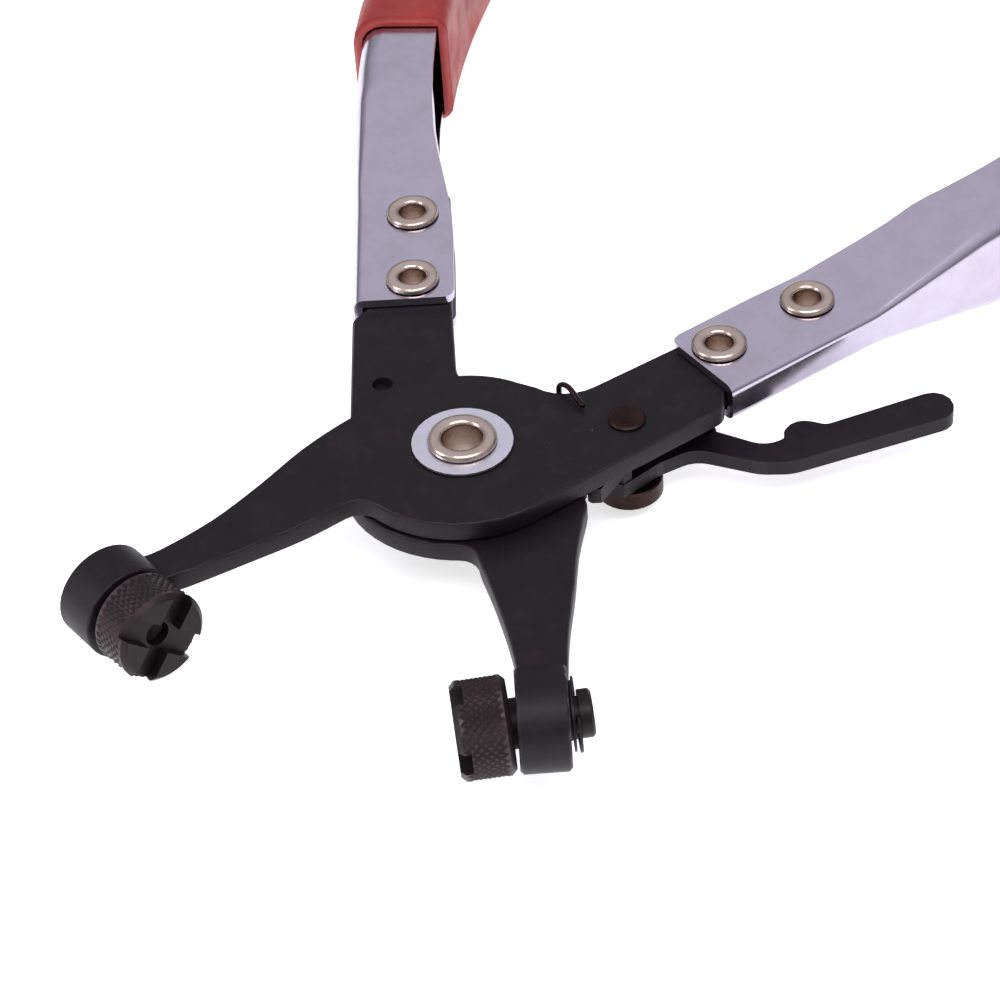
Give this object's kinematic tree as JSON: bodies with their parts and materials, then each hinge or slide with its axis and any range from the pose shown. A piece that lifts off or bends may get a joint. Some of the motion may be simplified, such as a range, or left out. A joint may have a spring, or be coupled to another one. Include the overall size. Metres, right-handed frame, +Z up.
{
  "type": "hose clamp pliers",
  "caption": "Crossed steel pliers with swivelling knurled, slotted jaw heads, a ratchet lock lever and pressed sheet handles with dipped grips, lying open",
  "frame": {"origin": "centre of the bottom of the tool's box, on the surface it lies on", "axes": "+Z up through the pivot's rivet, +Y the way the left handle points, +X towards the right handle"},
  "size_m": [0.2088, 0.2386, 0.0263],
  "materials": {
    "black_oxide": "black oxide, satin",
    "knurled_steel": "dark knurled steel",
    "plated_sheet": "bright plated",
    "nickel": "nickel plated, warm",
    "zinc": "zinc plated",
    "bare_rivet": "peened, worn",
    "spring_steel": "dark spring steel",
    "vinyl": "dipped, matte"
  },
  "bodies": {
    "upper": {"upper_arm": "black_oxide", "pivot_rivet": "nickel", "pivot_washer": "zinc", "right_handle": "plated_sheet", "right_handle_eyelet_1": "nickel", "right_handle_eyelet_2": "nickel", "right_grip": "vinyl", "lever_rivet": "bare_rivet", "lever_spring": "spring_steel", "left_jaw_washer": "black_oxide"},
    "lower": {"lower_arm": "black_oxide", "left_handle": "plated_sheet", "left_handle_eyelet_1": "nickel", "left_handle_eyelet_2": "nickel", "left_grip": "vinyl", "right_jaw_washer": "black_oxide"},
    "lever": {"lock_lever": "black_oxide"},
    "left_head": {"left_jaw_head": "knurled_steel", "left_jaw_clip": "black_oxide"},
    "right_head": {"right_jaw_head": "knurled_steel", "right_jaw_clip": "black_oxide"}
  },
  "joints": [
    {"name": "handles_close", "type": "hinge", "parent": "upper", "child": "lower", "pos_m": [-0.04215, -0.0531, 0.0176], "axis": [0, 0, -1], "range_deg": [0, 44]},
    {"name": "lock_lever_turn", "type": "hinge", "parent": "upper", "child": "lever", "pos_m": [-0.01619, -0.05022, 0.0176], "axis": [0, 0, 1], "range_deg": [-4.2, 10], "stiffness_Nm_per_rad": 0.05, "deforming": ["lever_spring"]},
    {"name": "left_head_turn", "type": "hinge", "parent": "upper", "child": "left_head", "pos_m": [-0.09597, -0.07921, 0.01395], "axis": [0.593, -0.8014, 0.0785], "continuous": true},
    {"name": "right_head_turn", "type": "hinge", "parent": "lower", "child": "right_head", "pos_m": [-0.03317, -0.11126, 0.01395], "axis": [-0.9973, -0.0645, -0.0349], "continuous": true}
  ]
}
